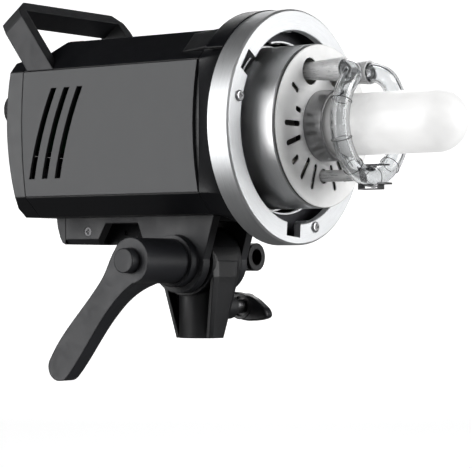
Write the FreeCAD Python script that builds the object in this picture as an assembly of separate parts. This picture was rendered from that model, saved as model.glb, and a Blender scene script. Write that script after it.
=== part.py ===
import FreeCAD, Part
import math
import os

# Monolight strobe on its tilting stand bracket.
# Origin: centre of the stand socket's mouth. +X is forward along the lamp axis,
# +Z is up, and the clamp lever is on the -Y side. All sizes in millimetres.

# ---- driving dimensions -----------------------------------------------------

PIVOT_Z = 42.6          # tilt axis, along Y, above the socket's mouth
LAMP_Z = 114.4          # lamp and flash tube axis, along X

BODY_HALF_WIDTH = 48.0
BODY_BOTTOM_Z = 67.5
BODY_TOP_Z = 166.5
SIDE_LOW_Z = 78.7       # the flat sides run from here
SIDE_HIGH_Z = 149.4     # up to here, with sloping faces above and below
TOP_FLAT_HALF = 31.0
BOTTOM_FLAT_HALF = 37.0
WALL = 3.0
SHELL_FRONT_X = 36.0
SEAM_X = -88.0          # joint between the body shell and the rear cover, bowed to the rear
SEAM_BOW = 2.1
REAR_X = -106.0
CORNER_CUT = 4.5        # how far forward the rear's bow starts at each side

RING_RADIUS = 63.5      # bayonet ring for light shapers
RING_BACK_X = 53.5
RING_FRONT_X = 66.85
RING_MOUTH_RADIUS = 52.0
RING_CAVITY_RADIUS = 59.8
RING_LIP = 4.0
NOTCH_ANGLES = (25.4, 145.4, 265.4)
RING_SCREW_ANGLES = (46.0, 166.0, 286.0)
PIN_Z = LAMP_Z + 53.0   # lock pin behind the ring's lip
PIN_RADIUS = 1.6

DRUM_RADIUS = 43.9
PLATE_FRONT_X = 83.2
COLLAR_RADIUS = 19.0
COLLAR_FRONT_X = 94.5
LAMP_RADIUS = 16.4
LAMP_TIP_X = 170.0

TUBE_X = 113.0          # plane of the flash tube's ring
TUBE_RING_RADIUS = 29.0
TUBE_RADIUS = 5.2
TUBE_BORE = 3.7
TUBE_ELBOW = 8.0
TUBE_CENTRE_Z = LAMP_Z + 0.9
SLEEVE_FOOT_RADIUS = 4.6
SLEEVE_MOUTH_RADIUS = 6.4

FOOT_HALF = 20.0        # half width over the two cheeks
CHEEK_INNER = 14.0
CHEEK_RADIUS = 17.7
FOOT_BOTTOM_Z = 52.3
FOOT_REAR_X = -81.8

BOLT_RADIUS = 5.0
RUNNING_GAP = 0.08

HUB_RADIUS = 12.3       # clamp lever
BOSS_FACE_Y = -26.0     # collar on the near cheek that the hub turns against
LEVER_FACE_Y = -61.0
LEVER_THICKNESS = 9.5
LEVER_LENGTH = 76.7
LEVER_ANGLE = 229.0     # degrees from +X towards +Z
LEVER_END_RADIUS = 7.8
BUTTON_RADIUS = 6.7

SOCKET_RADIUS = 8.1     # takes a 16 mm (5/8 in) stand stud
SOCKET_DEPTH = 34.0
STEM_TUBE_RADIUS = 11.6
LOCK_Z = 17.0           # stand lock screw, along Y
LOCK_THREAD_RADIUS = 4.0
LOCK_BOSS_RADIUS = 6.9
STUD_END_Y = 42.0
WING_Y = 37.5           # inner face of the knob's wings
WING_DEPTH = 6.5

UMBRELLA_Y = 29.0
UMBRELLA_Z = 45.0
UMBRELLA_BORE = 4.5
UMBRELLA_RADIUS = 7.8
UMBRELLA_HALF_LENGTH = 18.0
UMBRELLA_LOCK_X = 0.0

PANEL_X = -98.5         # outer face of the recessed control panel
OPENING_HALF = 42.2
OPENING_LOW_Z = 80.0
OPENING_HIGH_Z = 148.0

HANDLE_LEAN = math.radians(36.9)
HANDLE_DEPTH = 15.4
HANDLE_FOOT = (-67.3, 150.5)   # front lower corner of the bail, X and Z


# ---- helpers ----------------------------------------------------------------

def vec(x, y, z):
    return FreeCAD.Vector(x, y, z)


def box(x0, x1, y0, y1, z0, z1):
    return Part.makeBox(x1 - x0, y1 - y0, z1 - z0, vec(x0, y0, z0))


def rod_x(y, z, radius, x0, x1):
    return Part.makeCylinder(radius, x1 - x0, vec(x0, y, z), vec(1, 0, 0))


def rod_y(x, z, radius, y0, y1):
    return Part.makeCylinder(radius, y1 - y0, vec(x, y0, z), vec(0, 1, 0))


def rod_z(x, y, radius, z0, z1):
    return Part.makeCylinder(radius, z1 - z0, vec(x, y, z0), vec(0, 0, 1))


def pipe_x(y, z, outer, inner, x0, x1):
    return rod_x(y, z, outer, x0, x1).cut(rod_x(y, z, inner, x0 - 1, x1 + 1))


def pipe_y(x, z, outer, inner, y0, y1):
    return rod_y(x, z, outer, y0, y1).cut(rod_y(x, z, inner, y0 - 1, y1 + 1))


def scaled(vector, factor):
    return vec(vector.x * factor, vector.y * factor, vector.z * factor)


def polygon(points):
    return Part.Face(Part.makePolygon(points + [points[0]]))


def prism_xz(points, y0, y1):
    """Outline in X and Z, pulled along Y."""
    return polygon([vec(x, y0, z) for x, z in points]).extrude(vec(0, y1 - y0, 0))


def curved_prism_xz(corners, y0, y1, slide=0.0):
    """Outline in X and Z, pulled along Y and slid along X on the way. A corner
    with four numbers starts an arc, and its last two say where that arc passes."""
    edges = []
    for corner, following in zip(corners, corners[1:] + corners[:1]):
        start = vec(corner[0], y0, corner[1])
        end = vec(following[0], y0, following[1])
        if len(corner) == 4:
            edges.append(Part.Arc(start, vec(corner[2], y0, corner[3]), end).toShape())
        else:
            edges.append(Part.LineSegment(start, end).toShape())
    return Part.Face(Part.Wire(edges)).extrude(vec(slide, y1 - y0, 0))


def prism_yz(points, x0, x1):
    """Outline in Y and Z, pulled along X."""
    return polygon([vec(x0, y, z) for y, z in points]).extrude(vec(x1 - x0, 0, 0))


def turned(points):
    """Outline of X and radius, turned round the lamp axis."""
    face = polygon([vec(x, 0, LAMP_Z + radius) for x, radius in points])
    return face.revolve(vec(0, 0, LAMP_Z), vec(1, 0, 0), 360)


def about_lamp(shape, degrees):
    """Turn a copy round the lamp axis, from +Y towards +Z."""
    copy = shape.copy()
    copy.rotate(vec(0, 0, LAMP_Z), vec(1, 0, 0), degrees)
    return copy


def at_angle(radius, degrees):
    """Y and Z of a point round the lamp axis."""
    angle = math.radians(degrees)
    return radius * math.cos(angle), LAMP_Z + radius * math.sin(angle)


def fuse(shapes):
    return shapes[0].multiFuse(shapes[1:]).removeSplitter()


def group(shapes):
    return Part.makeCompound(shapes)


def mirror_y(shape):
    return shape.mirror(vec(0, 0, 0), vec(0, 1, 0))


def torus_arc(centre, axis, start, degrees, radius):
    """Round bar bent about an axis: start is the middle of its first end."""
    spoke = start.sub(centre)
    tangent = axis.cross(spoke)
    ring = Part.Wire(Part.makeCircle(radius, start, tangent))
    return Part.Face(ring).revolve(centre, axis, degrees)


def coil(axis, base, length, radius, wire_radius, turns):
    """Compression spring from base along axis."""
    helix = Part.makeHelix(length / turns, length, radius)
    section = Part.Wire(Part.makeCircle(wire_radius, vec(radius, 0, 0), vec(0, 1, 0)))
    spring = Part.Wire(helix).makePipeShell([section], True, True)
    spring.Placement = FreeCAD.Placement(base, FreeCAD.Rotation(vec(0, 0, 1), axis))
    return spring


# ---- body sections ----------------------------------------------------------

def body_section(inset):
    """Eight-sided section across the body, Y and Z."""
    corner = 0.414 * inset
    side = BODY_HALF_WIDTH - inset
    top = TOP_FLAT_HALF - corner
    bottom = BOTTOM_FLAT_HALF - corner
    return [
        (side, SIDE_LOW_Z + corner), (side, SIDE_HIGH_Z - corner),
        (top, BODY_TOP_Z - inset), (-top, BODY_TOP_Z - inset),
        (-side, SIDE_HIGH_Z - corner), (-side, SIDE_LOW_Z + corner),
        (-bottom, BODY_BOTTOM_Z + inset), (bottom, BODY_BOTTOM_Z + inset),
    ]


def rear_outline(forward, inset):
    """Side outline with the bowed rear, open far enough above and below to be cut."""
    shift = forward + inset
    return [
        (-99.6 + shift, 79.0, REAR_X + shift, 120.0), (-103.3 + shift, 149.4),
        (-99.5 + shift, 155.2 - inset), (-78.0 + shift, 160.3 - inset),
        (-70.5 + shift, BODY_TOP_Z - inset), (-60.0 + shift, 200.0), (150.0, 200.0),
        (150.0, 40.0), (-96.5 + shift, 40.0), (-96.5 + shift, BODY_BOTTOM_Z),
    ]


def body_solid(inset):
    """The whole body: eight-sided section, closed by the bowed rear with cut corners."""
    section = prism_yz(body_section(inset), REAR_X - 5, SHELL_FRONT_X)
    middle = curved_prism_xz(rear_outline(0, inset), -60, 60)
    half = BODY_HALF_WIDTH
    corner = curved_prism_xz(rear_outline(CORNER_CUT, inset), -half, half, -1.5 * half)
    return section.common(middle).common(corner).common(mirror_y(corner))


def ahead_of_seam(gap):
    """Everything in front of the bowed joint between shell and rear cover."""
    bow = (SEAM_X + gap - SEAM_BOW, 121.0)
    end = SEAM_X + gap + 4.2
    return curved_prism_xz([(end, 60.0, *bow), (end, 182.0), (60.0, 182.0), (60.0, 60.0)], -60, 60)


SENSOR_OUTLINE = [
    (-85.0, 159.2), (-78.2, 160.9), (-70.7, 167.0), (-61.5, 167.0),
    (-61.5, 165.0), (-70.0, 165.0), (-77.6, 158.8), (-84.6, 157.0),
]
SENSOR_HALF = 29.0
SLOT_TOP_X = (-66.0, -56.5, -47.0)
SLOT_LEAN = 16.3
SLOT_BOW = 1.9
SLOT_LOW_Z = 88.7
SLOT_HIGH_Z = 139.2
SLOT_WIDTH = 4.1


def air_slots(y0, y1):
    slots = []
    half = SLOT_WIDTH / 2
    middle_z = (SLOT_LOW_Z + SLOT_HIGH_Z) / 2
    for x in SLOT_TOP_X:
        low_x = x - SLOT_LEAN
        middle_x = (x + low_x) / 2 - SLOT_BOW
        slots.append(curved_prism_xz([
            (x - half, SLOT_HIGH_Z), (x + half, SLOT_HIGH_Z, middle_x + half, middle_z),
            (low_x + half, SLOT_LOW_Z), (low_x - half, SLOT_LOW_Z, middle_x - half, middle_z),
        ], y0, y1))
    return slots


PANEL_OUTLINE = [
    (-110.0, SIDE_LOW_Z + 0.3), (35.5, SIDE_LOW_Z + 0.3, 31.9, 114.5),
    (34.9, SIDE_HIGH_Z - 0.3), (-110.0, SIDE_HIGH_Z - 0.3),
]
PANEL_THICKNESS = 1.8


# ---- housing ----------------------------------------------------------------

def body_shell():
    hollow = body_solid(0).cut(body_solid(WALL))
    shell = hollow.common(ahead_of_seam(0.1))
    recess_face = BODY_HALF_WIDTH - PANEL_THICKNESS
    recess = box(-110, SHELL_FRONT_X + 1, recess_face, 60, SIDE_LOW_Z, SIDE_HIGH_Z)
    vent_window = box(-86.0, -44.0, 30, 60, 86.0, 142.0)
    cuts = [recess, mirror_y(recess), vent_window, mirror_y(vent_window)]
    cuts.append(prism_xz(SENSOR_OUTLINE, -SENSOR_HALF - 0.2, SENSOR_HALF + 0.2))
    cuts.append(box(14.5, 29.5, -4, 4, 160, 170))
    return shell.cut(group(cuts))


def side_panel(sign):
    low = BODY_HALF_WIDTH - PANEL_THICKNESS
    plate = curved_prism_xz(PANEL_OUTLINE, low, BODY_HALF_WIDTH).common(ahead_of_seam(0.3))
    plate = plate.cut(group(air_slots(low - 1, BODY_HALF_WIDTH + 1)))
    return plate if sign > 0 else mirror_y(plate)


def cover_wire(x, inset):
    """Outline where the front cover leaves the body, or where it meets the ring."""
    corners = body_section(0)
    if x < RING_BACK_X:
        points = [vec(x, y, z) for y, z in body_section(inset)]
        edges = [Part.LineSegment(a, b).toShape() for a, b in zip(points, points[1:] + points[:1])]
        return Part.Wire(edges)
    radius = 61.6 - inset
    angles = [math.degrees(math.atan2(z - LAMP_Z, y)) for y, z in corners]
    edges = []
    for first, second in zip(angles, angles[1:] + angles[:1]):
        turn = (second - first) % 360
        ends = [at_angle(radius, first + part * turn) for part in (0, 0.5, 1)]
        edges.append(Part.Arc(*[vec(x, y, z) for y, z in ends]).toShape())
    return Part.Wire(edges)


SWELL_RADIUS = 64.0     # raised round part of the cover, over the top of the body
SWELL_BACK_X = 42.0
SWELL_LOW_Z = 154.4


def swell(wall):
    """Round part that stands up behind the top of the ring."""
    drum = rod_x(0, LAMP_Z, SWELL_RADIUS - wall, SWELL_BACK_X + wall, RING_BACK_X)
    return drum.common(box(0, 60, -60, 60, SWELL_LOW_Z + wall, 200))


def gusset():
    """Wedge that runs back from the round part over the shell's sloping face."""
    slope = math.hypot(BODY_HALF_WIDTH - TOP_FLAT_HALF, BODY_TOP_Z - SIDE_HIGH_Z)
    wedge = prism_xz([(22.0, 0.1), (44.0, 0.1), (44.0, 3.2), (22.0, 0.6)], 6.5, slope - 3.0)
    wedge.rotate(vec(0, 0, 0), vec(1, 0, 0), 45.2)
    wedge.translate(vec(0, -BODY_HALF_WIDTH, SIDE_HIGH_Z))
    return wedge


def front_cover():
    """Collar that swells from the body's section to the round ring."""
    start = SHELL_FRONT_X + 0.1
    outer = Part.makeLoft([cover_wire(start, 0), cover_wire(RING_BACK_X, 0)], True, True)
    inner = Part.makeLoft([cover_wire(start, WALL), cover_wire(RING_BACK_X, WALL)], True, True)
    return fuse([outer, swell(0), gusset(), mirror_y(gusset())]).cut(inner).cut(swell(WALL))


COVER_SCREWS = ((-30.0, 73.5), (30.0, 73.5))


def rear_cover():
    hollow = body_solid(0).cut(body_solid(WALL))
    cover = hollow.cut(ahead_of_seam(-0.1))
    opening = box(-120, -90, -OPENING_HALF, OPENING_HALF, OPENING_LOW_Z, OPENING_HIGH_Z)
    wall = 2.0
    rim = box(-120, -96.0, -OPENING_HALF - wall, OPENING_HALF + wall,
              OPENING_LOW_Z - wall, OPENING_HIGH_Z + wall)
    rim = rim.common(body_solid(0.5))
    cover = fuse([cover, rim]).cut(opening)
    screws = [rod_x(y, z, 2.0, -110, -90) for y, z in COVER_SCREWS]
    heads = [rod_x(y, z, 3.4, -110, -99.5) for y, z in COVER_SCREWS]
    return cover.cut(group(screws + heads))


def case_screws():
    """Two screws at the foot of the rear cover."""
    return group([rod_x(y, z, 1.9, -95.0, -90.0) for y, z in COVER_SCREWS])


def sensor_window():
    return prism_xz(SENSOR_OUTLINE, -SENSOR_HALF, SENSOR_HALF)


def handle():
    """Fixed bail: two legs and a cross bar with cut corners, leaning back."""
    up = vec(-math.sin(HANDLE_LEAN), 0, math.cos(HANDLE_LEAN))
    back = vec(-math.cos(HANDLE_LEAN), 0, -math.sin(HANDLE_LEAN))
    foot = vec(HANDLE_FOOT[0], 0, HANDLE_FOOT[1])
    half = BODY_HALF_WIDTH
    inner = half - 7.2
    near = [(-inner, 43.6), (-inner, -6), (-half, -6), (-half, 38.0), (-46.4, 44.5), (-39.0, 49.8)]
    outline = near + [(-y, u) for y, u in reversed(near)]
    points = [foot.add(scaled(up, u)).add(vec(0, y, 0)) for y, u in outline]
    bail = polygon(points).extrude(scaled(back, HANDLE_DEPTH))
    back_edges = []
    for edge in bail.Edges:
        from_foot = edge.CenterOfMass.sub(foot)
        runs_across = abs(edge.tangentAt(edge.FirstParameter).y) > 0.99
        if runs_across and from_foot.dot(up) > 40 and from_foot.dot(back) > 10:
            back_edges.append(edge)
    bail = bail.makeFillet(2.9, back_edges)
    return bail.cut(body_solid(0))


# ---- foot and tilt clamp ----------------------------------------------------

CHEEK_OUTLINE = [
    (24.9, BODY_BOTTOM_Z), (17.6, 43.4), (-17.6, 43.4), (-21.5, 52.3), (-21.5, BODY_BOTTOM_Z),
]
FOOT_RECESS = [(-60.1, 50.0), (-51.8, 64.0), (-28.3, 64.0), (-22.9, 50.0)]
FOOT_SCREW = (-64.8, 59.4)


def cheek(y0, y1):
    plate = prism_xz(CHEEK_OUTLINE, y0, y1)
    return plate.fuse(rod_y(0, PIVOT_Z, CHEEK_RADIUS, y0, y1))


def foot_frame():
    """Channel under the body that ends in two cheeks round the barrel."""
    half = FOOT_HALF
    bevel = 3.0
    section = [
        (-half, BODY_BOTTOM_Z), (-half, FOOT_BOTTOM_Z + bevel), (bevel - half, FOOT_BOTTOM_Z),
        (-CHEEK_INNER, FOOT_BOTTOM_Z), (-CHEEK_INNER, 64.6), (CHEEK_INNER, 64.6),
        (CHEEK_INNER, FOOT_BOTTOM_Z), (half - bevel, FOOT_BOTTOM_Z),
        (half, FOOT_BOTTOM_Z + bevel), (half, BODY_BOTTOM_Z),
    ]
    channel = prism_yz(section, FOOT_REAR_X + 0.15, 0)
    end_wall = box(FOOT_REAR_X + 0.15, -77.5, -CHEEK_INNER, CHEEK_INNER, FOOT_BOTTOM_Z, 66)
    roof = box(-1, 22.0, -half, half, 64.6, BODY_BOTTOM_Z)
    saddle = box(-16.0, 16.0, half - 1, 25.0, 38.0, 52.0)
    frame = fuse([
        channel, end_wall, roof, cheek(-half, -CHEEK_INNER), cheek(CHEEK_INNER, half),
        rod_y(0, PIVOT_Z, 14.3, BOSS_FACE_Y, 1 - half), saddle,
    ])
    cuts = [
        prism_xz(FOOT_RECESS, -half - 1, -CHEEK_INNER + 1),
        prism_xz(FOOT_RECESS, CHEEK_INNER - 1, half + 1),
        rod_y(0, PIVOT_Z, BOLT_RADIUS + RUNNING_GAP, BOSS_FACE_Y - 1, CHEEK_INNER + 6.2),
        nut_prism(0.1).fuse(rod_y(0, PIVOT_Z, 7.0, CHEEK_INNER - 1, CHEEK_INNER + 1)),
        rod_x(UMBRELLA_Y, UMBRELLA_Z, UMBRELLA_RADIUS, -30, 30),
    ]
    x, z = FOOT_SCREW
    for y0, y1 in ((-half - 1, -half + 1.2), (half - 1.2, half + 1)):
        cuts.append(rod_y(x, z, 2.7, y0, y1))
    cuts.append(rod_y(x, z, 1.3, -half, half))
    return frame.cut(group(cuts))


def nut_prism(grow):
    across = 8.5 + grow
    corners = []
    for step in range(6):
        angle = math.radians(60 * step + 30)
        reach = across / math.cos(math.radians(30))
        corners.append((reach * math.cos(angle), PIVOT_Z + reach * math.sin(angle)))
    return prism_xz(corners, CHEEK_INNER + 0.3 - grow, CHEEK_INNER + 5.6)


def clamp_nut():
    return nut_prism(0).cut(rod_y(0, PIVOT_Z, BOLT_RADIUS + RUNNING_GAP, 10, 30))


def foot_end_cap():
    outline = [
        (FOOT_REAR_X, BODY_BOTTOM_Z), (-88.5, BODY_BOTTOM_Z), (-87.6, 62.0),
        (-85.6, 56.0), (-84.0, 53.4), (FOOT_REAR_X, FOOT_BOTTOM_Z),
    ]
    return prism_xz(outline, -FOOT_HALF, FOOT_HALF)


def cross_slot(x, y_face, z, depth, inward):
    """Cross recess for a screw head that faces along Y."""
    low, high = sorted((y_face, y_face + inward * depth))
    arm = 1.5
    return box(x - arm, x + arm, low, high, z - 0.35, z + 0.35).fuse(
        box(x - 0.35, x + 0.35, low, high, z - arm, z + arm))


def foot_screws():
    x, z = FOOT_SCREW
    half = FOOT_HALF
    near = rod_y(x, z, 2.6, -half, -half + 1.2).fuse(rod_y(x, z, 1.3, -half + 1, -half + 5))
    near = near.cut(cross_slot(x, -half, z, 0.7, 1))
    return group([near, mirror_y(near)])


def pivot_bush():
    return pipe_y(0, PIVOT_Z, 8.0, BOLT_RADIUS + RUNNING_GAP, -13, 13)


def friction_washers():
    near = pipe_y(0, PIVOT_Z, 16.0, BOLT_RADIUS + 0.3, -13.85, -13.0)
    return group([near, mirror_y(near)])


def clamp_bolt():
    """Shank through cheeks and barrel, with a head sunk in the lever's hub."""
    head_face = LEVER_FACE_Y + 11.5
    shank = rod_y(0, PIVOT_Z, BOLT_RADIUS, head_face + 1, CHEEK_INNER + 5.6)
    head = rod_y(0, PIVOT_Z, 6.5, head_face, head_face + 3.5)
    return shank.fuse(head)


def lever_point(along, aside=0.0):
    """X and Z of a point on the lever: along the arm and to its lower side."""
    angle = math.radians(LEVER_ANGLE)
    x = along * math.cos(angle) - aside * math.sin(angle)
    z = PIVOT_Z + along * math.sin(angle) + aside * math.cos(angle)
    return x, z


def lever_curve(points):
    """Smooth edge through points given along the arm and to its lower side."""
    curve = Part.BSplineCurve()
    curve.interpolate([vec(x, LEVER_FACE_Y, z) for x, z in [lever_point(*point) for point in points]])
    return curve.toShape()


def lever_outline():
    """Arm as seen from the side: waisted behind the hub, with a round end."""
    upper = [
        (2.0, -12.0), (12.0, -10.2), (18.0, -8.8), (25.0, -8.3), (43.0, -8.7),
        (LEVER_LENGTH, -LEVER_END_RADIUS),
    ]
    lower = [
        (LEVER_LENGTH, LEVER_END_RADIUS), (48.0, 6.4), (30.0, 5.7), (16.2, 7.0), (8.6, 9.0),
        (1.0, 12.2),
    ]
    ends = [vec(x, LEVER_FACE_Y, z) for x, z in [
        lever_point(*upper[-1]), lever_point(LEVER_LENGTH + LEVER_END_RADIUS), lever_point(*lower[0]),
        lever_point(*lower[-1]), lever_point(*upper[0]),
    ]]
    return Part.Wire([
        lever_curve(upper), Part.Arc(ends[0], ends[1], ends[2]).toShape(),
        lever_curve(lower), Part.LineSegment(ends[3], ends[4]).toShape(),
    ])


def lever_side():
    """Side of the arm: thin at the end, swelling towards the root of the hub."""
    face = LEVER_FACE_Y
    far = LEVER_LENGTH + LEVER_END_RADIUS + 1
    depths = [
        (far, LEVER_THICKNESS), (45.0, 10.8), (30.0, 12.2), (20.0, 14.2), (13.0, 17.6),
        (8.0, 22.0), (4.0, 28.0),
    ]
    curve = Part.BSplineCurve()
    curve.interpolate([vec(along, depth, 0) for along, depth in depths])
    corners = [
        vec(4.0, 28.0, 0), vec(-1.0, 28.0, 0), vec(-1.0, 0, 0), vec(far, 0, 0),
        vec(far, LEVER_THICKNESS, 0),
    ]
    edges = [curve.toShape()]
    edges += [Part.LineSegment(a, b).toShape() for a, b in zip(corners, corners[1:])]
    side = Part.Face(Part.Wire(edges)).extrude(vec(0, 0, 40))
    side.translate(vec(0, face, -20))
    side.rotate(vec(0, 0, 0), vec(0, 1, 0), -LEVER_ANGLE)
    side.translate(vec(0, 0, PIVOT_Z))
    return side


def clamp_lever():
    """Long hub with a waisted arm that grows out of it."""
    face = LEVER_FACE_Y
    root = BOSS_FACE_Y - 0.1
    hub = rod_y(0, PIVOT_Z, HUB_RADIUS, face, root)
    arm = Part.Face(lever_outline()).extrude(vec(0, root - face, 0)).common(lever_side())
    lever = fuse([hub, arm])
    head_face = face + 11.5
    cuts = [
        rod_y(0, PIVOT_Z, BUTTON_RADIUS + 0.1, face - 1, head_face),
        rod_y(0, PIVOT_Z, 6.5, head_face - 0.5, head_face + 3.5),
        rod_y(0, PIVOT_Z, BOLT_RADIUS, head_face, -20),
    ]
    return lever.cut(group(cuts))


def lever_button():
    """Round cap, hollow at the back for its spring."""
    face = LEVER_FACE_Y - 6.1
    cap = rod_y(0, PIVOT_Z, BUTTON_RADIUS, face, LEVER_FACE_Y + 5.5)
    rim = [edge for edge in cap.Edges if abs(edge.CenterOfMass.y - face) < 0.01]
    cap = cap.makeFillet(0.8, rim[:1])
    return cap.cut(rod_y(0, PIVOT_Z, 5.3, LEVER_FACE_Y + 1.9, LEVER_FACE_Y + 6))


def lever_spring():
    return coil(vec(0, 1, 0), vec(0, LEVER_FACE_Y + 5.8, PIVOT_Z), 4.8, 4.2, 0.5, 2.5)


# ---- stand bracket ----------------------------------------------------------

FLANGE_STATIONS = ((0.0, 12.6, 6.6), (34.0, 19.4, 11.6), (PIVOT_Z + 8, 20.0, 13.0))


def bracket_flange():
    """Front plate of the I-section: stations give height, reach and half width."""
    wires = []
    for z, out, half in FLANGE_STATIONS:
        bevel = 0.3 * half
        outline = [
            (out - 3.2, -half), (out - 1.2, -half), (out, bevel - half),
            (out, half - bevel), (out - 1.2, half), (out - 3.2, half),
        ]
        points = [vec(x, y, z) for x, y in outline]
        wires.append(Part.makePolygon(points + points[:1]))
    return Part.makeLoft(wires, True, True)


def stand_bracket():
    """Cast stem: stand socket below, pivot barrel above, plates fore and aft."""
    plate = bracket_flange()
    web = prism_xz([
        (-11.5, 0), (11.5, 0), (17.5, 34), (17.5, PIVOT_Z), (-17.5, PIVOT_Z), (-17.5, 34),
    ], -3.2, 3.2)
    stem = fuse([
        plate, plate.mirror(vec(0, 0, 0), vec(1, 0, 0)), web,
        rod_z(0, 0, STEM_TUBE_RADIUS, 0, 33), rod_y(0, PIVOT_Z, 19.2, -13, 13),
    ])
    keep = box(-30, 30, -30, 30, -1, PIVOT_Z).fuse(rod_y(0, PIVOT_Z, 19.4, -30, 30))
    stem = stem.common(keep)
    stem = stem.fuse(rod_y(0, LOCK_Z, LOCK_BOSS_RADIUS, 5, 27))
    cuts = [
        rod_z(0, 0, SOCKET_RADIUS, -1, SOCKET_DEPTH),
        rod_y(0, PIVOT_Z, 8.0, -20, 20),
        rod_y(0, LOCK_Z, LOCK_THREAD_RADIUS + 0.05, 0, 30),
    ]
    return stem.cut(group(cuts))


def clamp_pad():
    return rod_y(0, LOCK_Z, LOCK_THREAD_RADIUS - 0.05, 8.3, 11.0)


def stand_knob_stud():
    return rod_y(0, LOCK_Z, LOCK_THREAD_RADIUS - 0.05, 11.1, STUD_END_Y)


WING_ROUNDING = 1.3
WING_EDGE = (
    (2.5, 23.9), (9.2, 21.6), (14.6, 17.8), (18.0, 14.2), (18.2, 11.4),
    (15.4, 9.9), (9.2, 8.9), (4.5, 8.8),
)


def wings():
    """Both wings in one rounded outline, the second being the first turned half round."""
    edge = list(WING_EDGE) + [(-x, 2 * LOCK_Z - z) for x, z in WING_EDGE]
    curve = Part.BSplineCurve()
    curve.interpolate([vec(x, WING_Y, z) for x, z in edge], True)
    plate = Part.Face(Part.Wire(curve.toShape())).extrude(vec(0, WING_DEPTH, 0))
    rims = [rim for rim in plate.Edges if rim.BoundBox.YLength < 0.1]
    return plate.makeFillet(WING_ROUNDING, rims)


def stand_knob():
    """Two-winged knob with a counterbored hub round the end of its stud."""
    hub = rod_y(0, LOCK_Z, 7.4, WING_Y - 0.4, WING_Y + WING_DEPTH + 1.6)
    knob = fuse([hub, wings()])
    recess = rod_y(0, LOCK_Z, 5.6, WING_Y - 1, WING_Y + 2.0)
    return knob.cut(recess).cut(rod_y(0, LOCK_Z, LOCK_THREAD_RADIUS - 0.05, 30, STUD_END_Y))


# ---- umbrella holder --------------------------------------------------------

def umbrella_tube():
    half = UMBRELLA_HALF_LENGTH
    tube = rod_x(UMBRELLA_Y, UMBRELLA_Z, UMBRELLA_RADIUS, -half, half)
    boss = rod_y(UMBRELLA_LOCK_X, UMBRELLA_Z, 5.4, UMBRELLA_Y, 41.0)
    body = tube.fuse(boss)
    bore = rod_x(UMBRELLA_Y, UMBRELLA_Z, UMBRELLA_BORE, -half - 1, half + 1)
    return body.cut(bore).cut(rod_y(UMBRELLA_LOCK_X, UMBRELLA_Z, 2.5, UMBRELLA_Y, 45))


def umbrella_lock_pad():
    return rod_y(UMBRELLA_LOCK_X, UMBRELLA_Z, 2.44, 34.4, 36.4)


def umbrella_lock_screw():
    """Thumb screw with a fluted head."""
    head = rod_y(UMBRELLA_LOCK_X, UMBRELLA_Z, 7.0, 42.6, 51.0)
    flutes = []
    for step in range(10):
        angle = math.radians(36 * step)
        x = UMBRELLA_LOCK_X + 7.6 * math.cos(angle)
        z = UMBRELLA_Z + 7.6 * math.sin(angle)
        flutes.append(rod_y(x, z, 1.3, 42, 52))
    head = head.cut(group(flutes))
    return head.fuse(rod_y(UMBRELLA_LOCK_X, UMBRELLA_Z, 2.44, 36.5, 43))


# ---- bayonet ring and its lock ----------------------------------------------

def bayonet_ring():
    front = RING_FRONT_X
    mouth = RING_MOUTH_RADIUS
    lip_back = front - RING_LIP
    ring = turned([
        (RING_BACK_X + 0.1, RING_RADIUS), (front - 1.0, RING_RADIUS), (front, RING_RADIUS - 1.0),
        (front, mouth + 0.4), (front - 0.4, mouth), (lip_back, mouth),
        (lip_back, RING_CAVITY_RADIUS), (RING_BACK_X + 0.1, RING_CAVITY_RADIUS),
    ])
    notch = box(lip_back - 1, front + 1, 50.0, 59.0, LAMP_Z - 6.2, LAMP_Z + 6.2)
    cuts = [about_lamp(notch, angle) for angle in NOTCH_ANGLES]
    for angle in RING_SCREW_ANGLES:
        y, z = at_angle(55.6, angle)
        cuts.append(rod_x(y, z, 1.6, lip_back - 1, front + 1))
    return ring.cut(group(cuts))


def ring_screws():
    """Round-headed screws with cross recesses on the ring's face."""
    screws = []
    for angle in RING_SCREW_ANGLES:
        y, z = at_angle(55.6, angle)
        head = rod_x(y, z, 3.0, RING_FRONT_X, RING_FRONT_X + 1.5)
        rim = [edge for edge in head.Edges if edge.CenterOfMass.x > RING_FRONT_X + 1.4]
        head = head.makeFillet(0.9, rim[:1])
        shank = rod_x(y, z, 1.6, RING_FRONT_X - 8.5, RING_FRONT_X + 0.5)
        low, high = RING_FRONT_X + 0.8, RING_FRONT_X + 2
        slot = box(low, high, y - 1.7, y + 1.7, z - 0.35, z + 0.35)
        slot = slot.fuse(box(low, high, y - 0.35, y + 0.35, z - 1.7, z + 1.7))
        screws.append(head.fuse(shank).cut(slot))
    return group(screws)


def bayonet_plate():
    """Backing plate that the light shaper's lugs turn against, on three spacers."""
    plate = pipe_x(0, LAMP_Z, RING_CAVITY_RADIUS - 0.1, 46.0, 54.0, 55.2)
    plate = plate.fuse(pipe_x(0, LAMP_Z, 46.9, 46.0, 54.0, 57.0))
    relief = box(53.0, 58.0, 40.0, 52.5, LAMP_Z - 9.0, LAMP_Z + 9.0)
    cuts = [about_lamp(relief, angle - 30) for angle in NOTCH_ANGLES]
    cuts.append(rod_x(0, PIN_Z, PIN_RADIUS + 0.3, 50, 60))
    spacers = []
    for angle in RING_SCREW_ANGLES:
        y, z = at_angle(55.6, angle)
        spacers.append(pipe_x(y, z, 3.6, 1.6, 55.2, RING_FRONT_X - RING_LIP))
        cuts.append(rod_x(y, z, 1.6, 50, 70))
    return group([plate.cut(group(cuts))] + spacers)


def lock_pin():
    """Pin behind the ring's lip, with the bent link that the slider pulls."""
    pin = rod_x(0, PIN_Z, PIN_RADIUS, 52.0, 61.5)
    upright = box(51.8, 53.6, -2, 2, 160.3, PIN_Z + 1.0)
    link = box(21.0, 52.0, -2, 2, 160.3, 162.0)
    spring_hook = box(27.6, 29.0, -2, 2, 153.5, 161.0)
    return fuse([pin, upright, link, spring_hook])


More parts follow.
